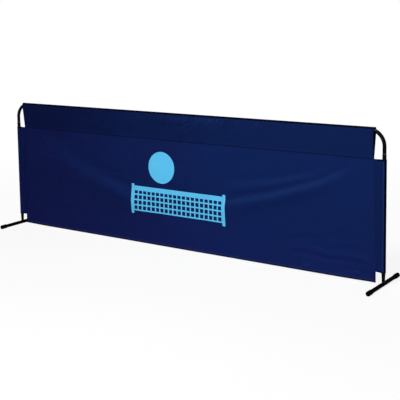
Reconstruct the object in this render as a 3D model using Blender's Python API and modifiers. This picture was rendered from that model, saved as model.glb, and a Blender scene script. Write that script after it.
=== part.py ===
"""Table tennis barrier: a knock-down steel tube frame with a sewn cover and two swivelling feet.

Metres, +Z up. The origin is on the floor, under the middle of the barrier. +X runs along the cover
to the right-hand leg and -Y is the front. Run it in Blender's text editor, or with
blender --background --python part.py
"""

import math

import bmesh
import bpy

# Overall sizes
OVERALL_WIDTH = 2.330
OVERALL_HEIGHT = 0.730
FOOT_LENGTH = 0.340

# Running clearance between pieces that touch, and the overrun of every cutter past what it cuts
GAP = 0.0003
CUT_OVERRUN = 0.002

# Top rail, in two bent halves that meet over a spigot. Their lower ends are swaged to plug into the legs
RAIL_DIAMETER = 0.018
RAIL_WALL = 0.0012
RAIL_BEND_RADIUS = 0.075
RAIL_PLUG_DEPTH = 0.060
RAIL_SWAGE_LENGTH = 0.004
SPIGOT_LENGTH = 0.120
SPIGOT_WALL = 0.0012
RIVET_OFFSET = 0.035
RIVET_SHANK_DIAMETER = 0.0032
RIVET_HEAD_DIAMETER = 0.0064
RIVET_HEAD_HEIGHT = 0.0013
RIVET_TAIL_DIAMETER = 0.0048
RIVET_TAIL_HEIGHT = 0.0012

# Legs, whose lower ends are swaged down over a threaded plug
LEG_DIAMETER = 0.019
LEG_WALL = 0.0012
LEG_ABOVE_SEAM = 0.028
LEG_TAPER_TOP = 0.066
LEG_TAPER_BOTTOM = 0.030
LEG_NECK_DIAMETER = 0.0156
PLUG_TOP = 0.046

# Feet
FOOT_TUBE_DIAMETER = 0.019
FOOT_TUBE_WALL = 0.0012
CAP_DIAMETER = 0.023
CAP_LENGTH = 0.036
CAP_END_THICKNESS = 0.004
CAP_EDGE_RADIUS = 0.003
CAP_LIP_RADIUS = 0.0006
CAP_FLAT_DEPTH = 0.0004
WASHER_DIAMETER = 0.0156
WASHER_THICKNESS = 0.0012
SCREW_DIAMETER = 0.006
SCREW_HEAD_DIAMETER = 0.010
SCREW_HEAD_HEIGHT = 0.006
SCREW_LENGTH = 0.024
SCREW_SOCKET_WIDTH = 0.005
SCREW_SOCKET_DEPTH = 0.003
KEY_HOLE_DIAMETER = 0.0125

# Cover
CLOTH_THICKNESS = 0.0008
SLEEVE_LOOSENESS = 0.0005
BAND_DEPTH = 0.146
SEAM_ALLOWANCE = 0.012
TOP_SLEEVE_STRAIGHT = 0.013
SIDE_SLEEVE_STRAIGHT = 0.005
TOP_SLEEVE_INSET = 0.056
SEAM_INSET = 0.061
BOTTOM_INSET = 0.049
SIDE_SLEEVE_BOTTOM = 0.0635
COVER_BOTTOM = 0.012
HEM_DEPTH = 0.020
HEM_STEP = 0.0015
HEM_LAYERS = 2
BELLY_DEPTH = 0.005
CREASE_DEPTH = 0.006
CREASE_WIDTH = 0.055
SLACK_FADE = 0.160
PUCKER_DEPTH = 0.0010
PUCKER_FADE = 0.045

# Creases of the hanging cloth: each runs from one point to another, as shares of half the cover's
# width and of its height under the seam, with its own share of the crease depth
CREASE_SHARES = (
    ((0.90, 0.90), (0.30, 0.42), 1.00),
    ((-0.86, 0.92), (-0.22, 0.34), 0.75),
)
PUCKERS_PER_SLEEVE = 17

# Facets
TUBE_BEVEL_RESOLUTION = 6
TURNED_SIDES = 24
SMALL_TURNED_SIDES = 16
SOCKET_SIDES = 6
BEND_STEPS = 10
CAP_EDGE_STEPS = 3
CAP_LIP_STEPS = 2
FOLD_STEPS = 8
WIDEN_STEPS = 4
PANEL_COLUMNS = 38
PANEL_ROWS = 10
SIDE_SLEEVE_ROWS = 10
SHARP_ANGLE = math.radians(35)
MERGE_DISTANCE = 0.00001

# Sizes that follow from the ones above
QUARTER_TURN = math.radians(90)
SEAM_HEIGHT = OVERALL_HEIGHT - BAND_DEPTH
LEG_TOP = SEAM_HEIGHT + LEG_ABOVE_SEAM
FOLD_HALF_STEP = math.cos(math.radians(180) / FOLD_STEPS / 2)
RAIL_SLEEVE_RADIUS = RAIL_DIAMETER / 2 + SLEEVE_LOOSENESS
LEG_SLEEVE_RADIUS = LEG_DIAMETER / 2 + SLEEVE_LOOSENESS
RAIL_HEIGHT = OVERALL_HEIGHT - (RAIL_SLEEVE_RADIUS + CLOTH_THICKNESS) / FOLD_HALF_STEP
LEG_X = OVERALL_WIDTH / 2 - (LEG_SLEEVE_RADIUS + CLOTH_THICKNESS) / FOLD_HALF_STEP
SPIGOT_DIAMETER = RAIL_DIAMETER - 2 * (RAIL_WALL + GAP)
RAIL_PLUG_DIAMETER = LEG_DIAMETER - 2 * (LEG_WALL + GAP)
FOOT_HEIGHT = CAP_DIAMETER / 2 - CAP_FLAT_DEPTH
WASHER_BOTTOM = FOOT_HEIGHT + FOOT_TUBE_DIAMETER / 2 + GAP
LEG_BOTTOM = WASHER_BOTTOM + WASHER_THICKNESS + GAP
NECK_BORE_RADIUS = LEG_NECK_DIAMETER / 2 - LEG_WALL
LEG_BORE_RADIUS = LEG_DIAMETER / 2 - LEG_WALL
SCREW_HOLE_RADIUS = SCREW_DIAMETER / 2 + GAP
FOOT_BORE_RADIUS = (FOOT_TUBE_DIAMETER / 2 - FOOT_TUBE_WALL) * math.cos(math.pi / TURNED_SIDES)
SCREW_HEAD_TOP = FOOT_HEIGHT + math.sqrt(FOOT_BORE_RADIUS**2 - (SCREW_HEAD_DIAMETER / 2) ** 2) - GAP
FOOT_TUBE_LENGTH = FOOT_LENGTH - 2 * (CAP_END_THICKNESS + GAP)
SLEEVE_MOUTH = CLOTH_THICKNESS / 2 + GAP

# Colours as linear red, green and blue
BLACK_COAT = (0.008, 0.008, 0.009)
BLACK_PLASTIC = (0.012, 0.012, 0.012)
ZINC = (0.55, 0.56, 0.58)
BLACK_NYLON = (0.010, 0.010, 0.011)
NAVY_CLOTH = (0.005, 0.013, 0.076)


def clear_scene():
    for obj in list(bpy.data.objects):
        bpy.data.objects.remove(obj, do_unlink=True)


def new_collection(name):
    collection = bpy.data.collections.new(name)
    bpy.context.scene.collection.children.link(collection)
    return collection


def new_material(name, colour, roughness, metallic):
    material = bpy.data.materials.new(name)
    material.use_nodes = True
    shader = material.node_tree.nodes["Principled BSDF"]
    shader.inputs["Base Color"].default_value = (*colour, 1.0)
    shader.inputs["Roughness"].default_value = roughness
    shader.inputs["Metallic"].default_value = metallic
    return material


def coated_steel(name):
    return new_material(name, BLACK_COAT, 0.35, 0.0)


def black_plastic(name):
    return new_material(name, BLACK_PLASTIC, 0.55, 0.0)


def zinc_plate(name):
    return new_material(name, ZINC, 0.35, 1.0)


def black_nylon(name):
    return new_material(name, BLACK_NYLON, 0.45, 0.0)


def navy_cloth(name):
    return new_material(name, NAVY_CLOTH, 0.75, 0.0)


def new_object(name, data, material=None, parent=None):
    """A piece in the barrier's collection, with its own material."""
    obj = bpy.data.objects.new(name, data)
    parts.objects.link(obj)
    if material is not None:
        data.materials.append(material)
    obj.parent = parent
    return obj


def as_cutter(obj):
    """Moves an object to the cutters' collection, where a render leaves it out."""
    parts.objects.unlink(obj)
    cutters.objects.link(obj)
    obj.hide_render = True
    obj.display_type = "WIRE"
    return obj


def settle(obj):
    """Makes the object's modifiers part of its mesh, smooth between its sharp edges."""
    graph = bpy.context.evaluated_depsgraph_get()
    mesh = bpy.data.meshes.new_from_object(obj.evaluated_get(graph))
    obj.modifiers.clear()
    obj.data = mesh
    mesh.shade_smooth()
    mesh.set_sharp_from_angle(angle=SHARP_ANGLE)
    return obj


def cut(obj, cutter):
    modifier = obj.modifiers.new(cutter.name, "BOOLEAN")
    modifier.operation = "DIFFERENCE"
    modifier.solver = "EXACT"
    modifier.object = cutter


def turned(name, profile, closed, material=None, parent=None, sides=TURNED_SIDES):
    """A profile of (radius, height) points, down its outer side first, turned about the Z axis."""
    mesh = bpy.data.meshes.new(name)
    shape = bmesh.new()
    verts = [shape.verts.new((radius, 0, height)) for radius, height in profile]
    for first, second in zip(verts, verts[1:]):
        shape.edges.new((first, second))
    if closed:
        shape.edges.new((verts[-1], verts[0]))
    shape.to_mesh(mesh)
    shape.free()
    obj = new_object(name, mesh, material, parent)
    screw = obj.modifiers.new("turn", "SCREW")
    screw.steps = sides
    screw.render_steps = sides
    screw.use_merge_vertices = True
    screw.merge_threshold = MERGE_DISTANCE
    return settle(obj)


def arc(radius, height, size, start, end, steps):
    """Points of a round edge of this size about a centre at (radius, height)."""
    return [
        (
            radius + size * math.cos(start + (end - start) * step / steps),
            height + size * math.sin(start + (end - start) * step / steps),
        )
        for step in range(steps + 1)
    ]


def tube(name, points, diameter, wall, material, end_diameter):
    """A hollow tube along the points, open at both ends. Its last two points have the end diameter."""
    curve = bpy.data.curves.new(name, "CURVE")
    curve.dimensions = "3D"
    curve.bevel_depth = diameter / 2
    curve.bevel_resolution = TUBE_BEVEL_RESOLUTION
    curve.use_fill_caps = False
    spline = curve.splines.new("POLY")
    spline.points.add(len(points) - 1)
    for point, place in zip(spline.points, points):
        point.co = (*place, 1)
    for point in spline.points[-2:]:
        point.radius = end_diameter / diameter
    path = new_object(name + "_path", curve)
    graph = bpy.context.evaluated_depsgraph_get()
    mesh = bpy.data.meshes.new_from_object(path.evaluated_get(graph))
    bpy.data.objects.remove(path, do_unlink=True)
    obj = new_object(name, mesh, material)
    shell = obj.modifiers.new("wall", "SOLIDIFY")
    shell.thickness = wall
    shell.offset = -1
    shell.use_even_offset = True
    return settle(obj)


def peg_cutter(name, radius, bottom, top, parent=None):
    """An upright cylinder that cuts a hole between two heights."""
    ends = [(0, top), (radius, top), (radius, bottom), (0, bottom)]
    return as_cutter(turned(name, ends, closed=False, parent=parent, sides=SMALL_TURNED_SIDES))


def rail_half(side, word):
    """Half of the top rail with its corner bend, from the middle down into the leg."""
    bend_centre_x = LEG_X - RAIL_BEND_RADIUS
    bend_centre_z = RAIL_HEIGHT - RAIL_BEND_RADIUS
    bend = arc(bend_centre_x, bend_centre_z, RAIL_BEND_RADIUS, QUARTER_TURN, 0, BEND_STEPS)
    swage_bottom = LEG_TOP + GAP
    swage_top = swage_bottom + RAIL_SWAGE_LENGTH
    heights = (swage_top, swage_bottom, LEG_TOP - RAIL_PLUG_DEPTH)
    route = [(GAP, RAIL_HEIGHT), *bend, *[(LEG_X, height) for height in heights]]
    points = [(side * x, 0, z) for x, z in route]
    coat = coated_steel(f"rail_{word}_coat")
    return tube(f"rail_{word}", points, RAIL_DIAMETER, RAIL_WALL, coat, RAIL_PLUG_DIAMETER)


def rail_spigot():
    """The plain tube inside the two rail halves, where they meet."""
    outer = SPIGOT_DIAMETER / 2
    inner = outer - SPIGOT_WALL
    end = SPIGOT_LENGTH / 2
    ring = [(outer, end), (outer, -end), (inner, -end), (inner, end)]
    spigot = turned("rail_spigot", ring, closed=True, material=zinc_plate("spigot_zinc"))
    spigot.rotation_euler = (0, QUARTER_TURN, 0)
    spigot.location = (0, 0, RAIL_HEIGHT)
    return spigot


def spigot_rivet():
    """The blind rivet that keeps the spigot in the left rail half, from below."""
    head_top = -RAIL_DIAMETER / 2 - GAP
    shank = RIVET_SHANK_DIAMETER / 2
    head = RIVET_HEAD_DIAMETER / 2
    tail = RIVET_TAIL_DIAMETER / 2
    spigot_bore = (SPIGOT_DIAMETER / 2 - SPIGOT_WALL) * math.cos(math.pi / TURNED_SIDES)
    tail_bottom = GAP - math.sqrt(spigot_bore**2 - tail**2)
    profile = [
        (0, tail_bottom + RIVET_TAIL_HEIGHT),
        (tail / 2, tail_bottom + RIVET_TAIL_HEIGHT),
        (tail, tail_bottom + RIVET_TAIL_HEIGHT / 2),
        (tail, tail_bottom),
        (shank, tail_bottom),
        (shank, head_top),
        (head, head_top),
        (head * math.cos(QUARTER_TURN / 3), head_top - RIVET_HEAD_HEIGHT / 2),
        (head / 2, head_top - RIVET_HEAD_HEIGHT),
        (0, head_top - RIVET_HEAD_HEIGHT),
    ]
    metal = zinc_plate("rivet_zinc")
    rivet = turned("spigot_rivet", profile, closed=False, material=metal, sides=SMALL_TURNED_SIDES)
    rivet.location = (-RIVET_OFFSET, 0, RAIL_HEIGHT)
    return rivet


def drill_for_rivet(rail, spigot):
    hole = peg_cutter(
        "rivet_hole", RIVET_SHANK_DIAMETER / 2 + GAP, -RAIL_DIAMETER / 2 - CUT_OVERRUN, 0
    )
    hole.location = (-RIVET_OFFSET, 0, RAIL_HEIGHT)
    cut(rail, hole)
    cut(spigot, hole)


def leg(side, word):
    """An upright tube, open at the top for the rail and swaged to a neck at the bottom."""
    outer = LEG_DIAMETER / 2
    neck = LEG_NECK_DIAMETER / 2
    profile = [
        (outer, LEG_TOP),
        (outer, LEG_TAPER_TOP),
        (neck, LEG_TAPER_BOTTOM),
        (neck, LEG_BOTTOM),
        (NECK_BORE_RADIUS, LEG_BOTTOM),
        (NECK_BORE_RADIUS, LEG_TAPER_BOTTOM),
        (LEG_BORE_RADIUS, LEG_TAPER_TOP),
        (LEG_BORE_RADIUS, LEG_TOP),
    ]
    obj = turned(f"leg_{word}", profile, closed=True, material=coated_steel(f"leg_{word}_coat"))
    obj.location.x = side * LEG_X
    return obj


def leg_plug(side, word):
    """The threaded plug that the leg's neck is swaged round. Its cone can't pull out."""
    widening = (LEG_BORE_RADIUS - NECK_BORE_RADIUS) / (LEG_TAPER_TOP - LEG_TAPER_BOTTOM)
    bottom_radius = NECK_BORE_RADIUS - GAP
    top_radius = bottom_radius + widening * (PLUG_TOP - LEG_TAPER_BOTTOM)
    profile = [
        (top_radius, PLUG_TOP),
        (bottom_radius, LEG_TAPER_BOTTOM),
        (bottom_radius, LEG_BOTTOM),
        (SCREW_HOLE_RADIUS, LEG_BOTTOM),
        (SCREW_HOLE_RADIUS, PLUG_TOP),
    ]
    obj = turned(f"leg_plug_{word}", profile, closed=True, material=zinc_plate(f"plug_{word}_zinc"))
    obj.location.x = side * LEG_X
    return obj


def foot_washer(side, word):
    """The flat nylon washer that the foot turns on, under the leg's neck."""
    outer = WASHER_DIAMETER / 2
    top = WASHER_BOTTOM + WASHER_THICKNESS
    profile = [
        (outer, top),
        (outer, WASHER_BOTTOM),
        (SCREW_HOLE_RADIUS, WASHER_BOTTOM),
        (SCREW_HOLE_RADIUS, top),
    ]
    nylon = black_nylon(f"washer_{word}_nylon")
    obj = turned(f"foot_washer_{word}", profile, closed=True, material=nylon)
    obj.location.x = side * LEG_X
    return obj


def foot_screw(side, word):
    """The cap screw through the foot tube into the leg's plug. Its head is inside the tube."""
    shank = SCREW_DIAMETER / 2
    head = SCREW_HEAD_DIAMETER / 2
    head_bottom = SCREW_HEAD_TOP - SCREW_HEAD_HEIGHT
    tip = SCREW_HEAD_TOP + SCREW_LENGTH
    profile = [
        (0, tip),
        (shank, tip),
        (shank, SCREW_HEAD_TOP),
        (head, SCREW_HEAD_TOP),
        (head, head_bottom),
        (0, head_bottom),
    ]
    obj = turned(f"foot_screw_{word}", profile, closed=False, material=zinc_plate(f"screw_{word}_zinc"))
    obj.location.x = side * LEG_X
    corner = SCREW_SOCKET_WIDTH / 2 / math.cos(math.pi / SOCKET_SIDES)
    socket_top = head_bottom + SCREW_SOCKET_DEPTH
    socket_bottom = head_bottom - CUT_OVERRUN
    outline = [(0, socket_top), (corner, socket_top), (corner, socket_bottom), (0, socket_bottom)]
    socket = as_cutter(turned(f"screw_socket_{word}", outline, closed=False, sides=SOCKET_SIDES))
    socket.location.x = side * LEG_X
    cut(obj, socket)
    return obj


def foot_tube(word, pivot):
    """The cross tube of a foot, drilled for its screw above and for the key below."""
    end = FOOT_TUBE_LENGTH / 2
    outer = FOOT_TUBE_DIAMETER / 2
    inner = outer - FOOT_TUBE_WALL
    ring = [(outer, end), (outer, -end), (inner, -end), (inner, end)]
    obj = turned(f"foot_tube_{word}", ring, True, coated_steel(f"foot_{word}_coat"), pivot)
    obj.rotation_euler = (QUARTER_TURN, 0, 0)
    obj.location.z = FOOT_HEIGHT
    top = FOOT_HEIGHT + outer + CUT_OVERRUN
    bottom = FOOT_HEIGHT - outer - CUT_OVERRUN
    cut(obj, peg_cutter(f"screw_hole_{word}", SCREW_HOLE_RADIUS, FOOT_HEIGHT, top, pivot))
    cut(obj, peg_cutter(f"key_hole_{word}", KEY_HOLE_DIAMETER / 2, bottom, FOOT_HEIGHT, pivot))
    return obj


def foot_cap(word, end_word, end_sign, pivot, floor):
    """A moulded cap pushed over one end of a foot tube, with a flat to stand on."""
    outer = CAP_DIAMETER / 2
    bore = FOOT_TUBE_DIAMETER / 2 + GAP
    seat = CAP_LENGTH - CAP_END_THICKNESS
    edge_radius = outer - CAP_EDGE_RADIUS
    edge_height = CAP_LENGTH - CAP_EDGE_RADIUS
    edge = arc(edge_radius, edge_height, CAP_EDGE_RADIUS, QUARTER_TURN, 0, CAP_EDGE_STEPS)
    lip = arc(outer - CAP_LIP_RADIUS, CAP_LIP_RADIUS, CAP_LIP_RADIUS, 0, -QUARTER_TURN, CAP_LIP_STEPS)
    profile = [(0, CAP_LENGTH), *edge, *lip, (bore, 0), (bore, seat), (0, seat)]
    plastic = black_plastic(f"cap_{word}_{end_word}_plastic")
    obj = turned(f"foot_cap_{word}_{end_word}", profile, False, plastic, pivot)
    obj.rotation_euler = (-end_sign * QUARTER_TURN, 0, 0)
    obj.location = (0, end_sign * (FOOT_LENGTH / 2 - CAP_LENGTH), FOOT_HEIGHT)
    cut(obj, floor)
    return obj


def floor_cutter():
    """A slab whose top is the floor. It cuts the flats under the caps."""
    mesh = bpy.data.meshes.new("floor_slab")
    shape = bmesh.new()
    bmesh.ops.create_cube(shape, size=1)
    size = (OVERALL_WIDTH + FOOT_LENGTH, 2 * FOOT_LENGTH, CAP_DIAMETER)
    bmesh.ops.scale(shape, vec=size, verts=shape.verts)
    shape.to_mesh(mesh)
    shape.free()
    slab = new_object("floor_slab", mesh)
    slab.location.z = -CAP_DIAMETER / 2
    return as_cutter(slab)


def foot(side, word, floor):
    """One foot on an empty that stands on its swivel axis."""
    pivot = bpy.data.objects.new(f"foot_{word}_pivot", None)
    parts.objects.link(pivot)
    pivot.location.x = side * LEG_X
    foot_tube(word, pivot)
    foot_cap(word, "front", -1, pivot, floor)
    foot_cap(word, "rear", 1, pivot, floor)


def cloth(name, columns, rows, place, offset, dropped=()):
    """A sewn sheet: a grid of cells, whose corners place(column, row) sets, made CLOTH_THICKNESS thick."""
    mesh = bpy.data.meshes.new(name)
    shape = bmesh.new()
    bmesh.ops.create_grid(shape, x_segments=columns, y_segments=rows, size=1)
    spare = []
    for face in shape.faces:
        middle = face.calc_center_median()
        column = int((middle.x + 1) / 2 * columns)
        row = int((middle.y + 1) / 2 * rows)
        if (column, row) in dropped:
            spare.append(face)
    bmesh.ops.delete(shape, geom=spare, context="FACES")
    for vert in shape.verts:
        column = round((vert.co.x + 1) / 2 * columns)
        row = round((vert.co.y + 1) / 2 * rows)
        vert.co = place(column, row)
    shape.to_mesh(mesh)
    shape.free()
    mesh.shade_smooth()
    obj = new_object(name, mesh, navy_cloth(name + "_cloth"))
    sheet = obj.modifiers.new("cloth", "SOLIDIFY")
    sheet.thickness = CLOTH_THICKNESS
    sheet.offset = offset
    sheet.use_even_offset = True
    return obj


def stitch_x(z):
    """How far from the middle the cover's side stitching is, at a height."""
    share = (SEAM_HEIGHT - z) / (SEAM_HEIGHT - SIDE_SLEEVE_BOTTOM)
    inset = SEAM_INSET + (BOTTOM_INSET - SEAM_INSET) * min(max(share, 0), 1)
    return OVERALL_WIDTH / 2 - inset


def fade(distance, length):
    """Rises smoothly from 0 at no distance to 1 at this length."""
    share = min(max(distance / length, 0), 1)
    return share * share * (3 - 2 * share)


def slack(x, z):
    """How far the hanging cloth stands out to the front of the frame's plane."""
    half_width = stitch_x(z)
    height = SEAM_HEIGHT - COVER_BOTTOM
    out = BELLY_DEPTH
    for start, end, depth_share in CREASE_SHARES:
        ax = start[0] * half_width
        az = COVER_BOTTOM + start[1] * height
        bx = end[0] * half_width
        bz = COVER_BOTTOM + end[1] * height
        length = math.hypot(bx - ax, bz - az)
        along = ((x - ax) * (bx - ax) + (z - az) * (bz - az)) / length
        across = ((x - ax) * (bz - az) - (z - az) * (bx - ax)) / length
        past = max(-along, along - length, 0)
        distance = math.hypot(across, past / 2)
        out += depth_share * CREASE_DEPTH * math.exp(-((distance / CREASE_WIDTH) ** 2))
    return out * fade(half_width - abs(x), SLACK_FADE) * fade(SEAM_HEIGHT - z, SLACK_FADE)


def cover_panel():
    """The single sheet between the sleeves, with a tongue into each of them for its seam."""
    columns = PANEL_COLUMNS + 2
    tongue_bottom = SIDE_SLEEVE_BOTTOM + GAP
    tongue_top = SEAM_HEIGHT - GAP
    heights = [COVER_BOTTOM, COVER_BOTTOM + HEM_DEPTH, COVER_BOTTOM + HEM_DEPTH + HEM_STEP]
    rows_below_sleeves = len(heights)
    heights += [tongue_bottom + (tongue_top - tongue_bottom) * i / PANEL_ROWS for i in range(PANEL_ROWS + 1)]
    heights.append(SEAM_HEIGHT + SEAM_ALLOWANCE)
    rows = len(heights) - 1

    def place(column, row):
        z = heights[row]
        edge = stitch_x(z) - GAP
        inner = min(max(column - 1, 0), PANEL_COLUMNS)
        x = edge * (2 * inner / PANEL_COLUMNS - 1)
        if column == 0:
            x -= SEAM_ALLOWANCE
        if column == columns:
            x += SEAM_ALLOWANCE
        return (x, -slack(x, z), z)

    below_sleeves = [(column, row) for column in (0, columns - 1) for row in range(rows_below_sleeves)]
    above_seam = [(column, rows - 1) for column in (0, columns - 1)]
    panel = cloth("cover_panel", columns, rows, place, offset=0, dropped=below_sleeves + above_seam)
    hem_top = COVER_BOTTOM + HEM_DEPTH + HEM_STEP / 2
    hem = panel.vertex_groups.new(name="folded_hem")
    hem.add([vert.index for vert in panel.data.vertices if vert.co.z < hem_top], 1, "REPLACE")
    sheet = panel.modifiers["cloth"]
    sheet.thickness = HEM_LAYERS * CLOTH_THICKNESS
    sheet.vertex_group = hem.name
    sheet.thickness_vertex_group = 1 / HEM_LAYERS
    return panel


def fold_section(mouth, wrap, flat, reach, straight):
    """Half of a sleeve's cross-section, as (across, along) from its mouth to the top of its fold.

    The two plies start mouth apart from the middle, stay flat over the seam, widen over the
    reach and run straight before they wrap the tube, whose centre is at along 0.
    """
    points = [(mouth, -reach), (mouth, flat - reach)]
    for step in range(1, WIDEN_STEPS + 1):
        share = step / WIDEN_STEPS
        points.append((mouth + (wrap - mouth) * share, (flat - reach) * (1 - share) - straight * share))
    radius = wrap / FOLD_HALF_STEP
    for step in range(FOLD_STEPS // 2 + 1):
        angle = QUARTER_TURN * step / (FOLD_STEPS // 2)
        points.append((radius * math.cos(angle), radius * math.sin(angle)))
    return points


def whole_section(half):
    """Both plies of a sleeve: out from the front mouth, round the fold and back to the rear one."""
    front = [(-across, along) for across, along in half]
    return front + list(reversed(half))[1:]


def cover_top_sleeve():
    """The band folded over the rail, from one corner to the other."""
    reach = RAIL_HEIGHT - SEAM_HEIGHT
    half = fold_section(SLEEVE_MOUTH, RAIL_SLEEVE_RADIUS, SEAM_ALLOWANCE, reach, TOP_SLEEVE_STRAIGHT)
    section = whole_section(half)
    columns = 2 * PUCKERS_PER_SLEEVE

    def place(column, row):
        across, along = section[row]
        lean = max(-along, 0) / reach
        inset = TOP_SLEEVE_INSET + (SEAM_INSET - TOP_SLEEVE_INSET) * lean
        x = (OVERALL_WIDTH / 2 - inset) * (2 * column / columns - 1)
        pucker = PUCKER_DEPTH * (column % 2) * fade(along + reach - SEAM_ALLOWANCE, PUCKER_FADE)
        pucker *= fade(-along - TOP_SLEEVE_STRAIGHT, PUCKER_FADE)
        return (x, across + math.copysign(pucker, across), RAIL_HEIGHT + along)

    return cloth("cover_top_sleeve", columns, len(section) - 1, place, offset=1)


def cover_side_sleeve(side, word):
    """The cloth folded round a leg, open at the top and the bottom."""

    def place(column, row):
        z = SIDE_SLEEVE_BOTTOM + (SEAM_HEIGHT - SIDE_SLEEVE_BOTTOM) * column / SIDE_SLEEVE_ROWS
        reach = LEG_X - stitch_x(z)
        half = fold_section(SLEEVE_MOUTH, LEG_SLEEVE_RADIUS, SEAM_ALLOWANCE, reach, SIDE_SLEEVE_STRAIGHT)
        across, along = whole_section(half)[row]
        return (side * (LEG_X + along), across, z)

    rows = len(whole_section(fold_section(0, 1, 0, 1, 0))) - 1
    return cloth(f"cover_side_sleeve_{word}", SIDE_SLEEVE_ROWS, rows, place, offset=-side)


def build_frame():
    left_rail = rail_half(-1, "left")
    rail_half(1, "right")
    drill_for_rivet(left_rail, rail_spigot())
    spigot_rivet()
    for side, word in ((-1, "left"), (1, "right")):
        leg(side, word)
        leg_plug(side, word)
        foot_washer(side, word)
        foot_screw(side, word)


def build_feet():
    floor = floor_cutter()
    for side, word in ((-1, "left"), (1, "right")):
        foot(side, word, floor)


def build_cover():
    cover_panel()
    cover_top_sleeve()
    for side, word in ((-1, "left"), (1, "right")):
        cover_side_sleeve(side, word)


clear_scene()
parts = new_collection("table_tennis_barrier")
cutters = new_collection("cutters")
build_frame()
build_feet()
build_cover()
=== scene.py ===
"""Looks of a table tennis barrier: a black tube frame on two swivelling feet, with a sewn navy cover.

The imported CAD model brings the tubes, caps, washers and screws, which stay and get their finishes
here. The four solids of the cover are replaced by sewn cloth: the hanging panel, the band over the
rail and a sleeve round each leg, with their folded hems, edge bindings and stitching.
Metres, +Z up, the front of the barrier towards -Y.
"""

import functools
import math

import bmesh
import bpy
from mathutils import Matrix, Vector, noise


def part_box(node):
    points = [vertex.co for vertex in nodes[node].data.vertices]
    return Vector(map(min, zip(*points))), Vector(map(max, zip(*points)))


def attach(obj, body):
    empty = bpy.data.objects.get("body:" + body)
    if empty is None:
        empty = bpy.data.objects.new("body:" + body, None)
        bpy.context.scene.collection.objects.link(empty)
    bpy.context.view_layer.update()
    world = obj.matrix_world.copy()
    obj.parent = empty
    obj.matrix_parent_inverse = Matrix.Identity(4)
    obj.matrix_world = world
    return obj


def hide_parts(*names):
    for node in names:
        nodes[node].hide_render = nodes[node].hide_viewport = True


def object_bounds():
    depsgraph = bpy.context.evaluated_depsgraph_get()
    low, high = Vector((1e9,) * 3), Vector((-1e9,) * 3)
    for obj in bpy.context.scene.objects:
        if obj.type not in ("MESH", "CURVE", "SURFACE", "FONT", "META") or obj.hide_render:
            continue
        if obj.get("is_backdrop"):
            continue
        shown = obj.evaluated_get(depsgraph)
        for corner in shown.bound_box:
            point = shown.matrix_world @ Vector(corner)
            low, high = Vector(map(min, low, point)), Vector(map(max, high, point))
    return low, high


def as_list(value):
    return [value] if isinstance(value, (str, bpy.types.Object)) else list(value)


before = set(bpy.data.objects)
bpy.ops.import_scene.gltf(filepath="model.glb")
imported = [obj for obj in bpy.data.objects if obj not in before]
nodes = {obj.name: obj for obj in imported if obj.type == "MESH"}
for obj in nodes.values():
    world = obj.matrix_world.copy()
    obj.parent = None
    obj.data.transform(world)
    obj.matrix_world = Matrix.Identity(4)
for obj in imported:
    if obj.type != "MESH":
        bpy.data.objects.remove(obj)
cad_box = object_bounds()

MM = 0.001

# Where the CAD model has what the cover is sewn round
LEG_X = (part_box("leg_right")[0].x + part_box("leg_right")[1].x) / 2
HALF_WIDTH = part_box("cover_side_sleeve_right")[1].x
COVER_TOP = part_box("cover_top_sleeve")[1].z
SEAM_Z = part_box("cover_top_sleeve")[0].z
SLEEVE_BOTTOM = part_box("cover_side_sleeve_right")[0].z
COVER_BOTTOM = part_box("cover_panel")[0].z
RAIL_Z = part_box("rail_right")[1].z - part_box("rail_right")[1].y
LEG_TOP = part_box("leg_right")[1].z

# The cut of the cover
CLOTH = 0.8 * MM
GAP = 0.3 * MM
MOUTH = CLOTH / 2 + GAP
ALLOWANCE = 12 * MM
BAND_TOP_INSET = 56 * MM
BAND_FOOT_INSET = 61 * MM
SLEEVE_FOOT_INSET = 49 * MM
BAND_STRAIGHT = 13 * MM
SLEEVE_STRAIGHT = 5 * MM
TURNED_EDGE = 11 * MM
HEM_DEPTH = 20 * MM
HEM_STEP = 1.5 * MM
STITCH_ROW = 2.5 * MM
STITCH_ROWS_APART = 6 * MM

# Edge binding, a thin woven tape folded over the cut edges
TAPE_WIDTH = 6 * MM
TAPE = 0.25 * MM
TAPE_GAP = 0.05 * MM

# The print: a ball over a net between two posts, measured from the cover's middle and the floor
BALL_X = -0.10
BALL_Z = 0.434
BALL_RADIUS = 0.085
NET_HALF_WIDTH = 0.285
NET_LOW = 0.190
NET_HIGH = 0.322
NET_TAPE = 0.026
NET_MESH = 0.0285
NET_CORD = 0.0080
POST_WIDTH = 0.018
POST_BELOW = 0.020
POST_ABOVE = 0.010

# Pitch of the cloth's yarns and of the tape's ribs
YARN = 0.55 * MM
RIB = 0.9 * MM

# Painted shade as a dark line along each outer fold, its share of depth on the crown of the rail,
# where it is deeper, a painted highlight as a lighter line beside it, with how strong it is, and the
# crease of a cover that was folded in two
SHADE_LINE_WIDTH = 7 * MM
CROWN_SHADE_SHARE = 0.7
HIGHLIGHT_LINE_PLACE = 10.5 * MM
HIGHLIGHT_LINE_WIDTH = 5 * MM
HIGHLIGHT_LINE_STRENGTH = 0.32
BAG_FOLD = 4 * MM

# Stitches, and the share of its thickness to which their row presses the hem
STITCH_PITCH = 4.4 * MM
STITCH_LENGTH = 3.5 * MM
THREAD = 0.60 * MM
PRESSED = 0.8

# How far the hanging panel stands out of the frame's plane, and how far from its stitching and its
# seam it takes to get there
BELLY = 5 * MM
SWAG_DEPTH = 6 * MM
SWAG_WIDTH = 55 * MM
SLACK_FADE = 160 * MM
SLACK_RISE = 240 * MM
SEWN_FADE = 40 * MM

# Unevenness of the panel, as the height of its bumps with their size or reach: slow and quick waves,
# gathers along the seam and beside the stitching, and the roping above the hem
SLOW_WAVES = (1.8 * MM, 0.22)
QUICK_WAVES = (0.7 * MM, 0.07)
GATHERS = 0.45 * MM
GATHERS_BELOW_SEAM = 22 * MM
GATHERS_BESIDE_SEAM = 20 * MM
GATHERS_START = 6 * MM
ROPING = (0.35 * MM, 12 * MM)
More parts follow.
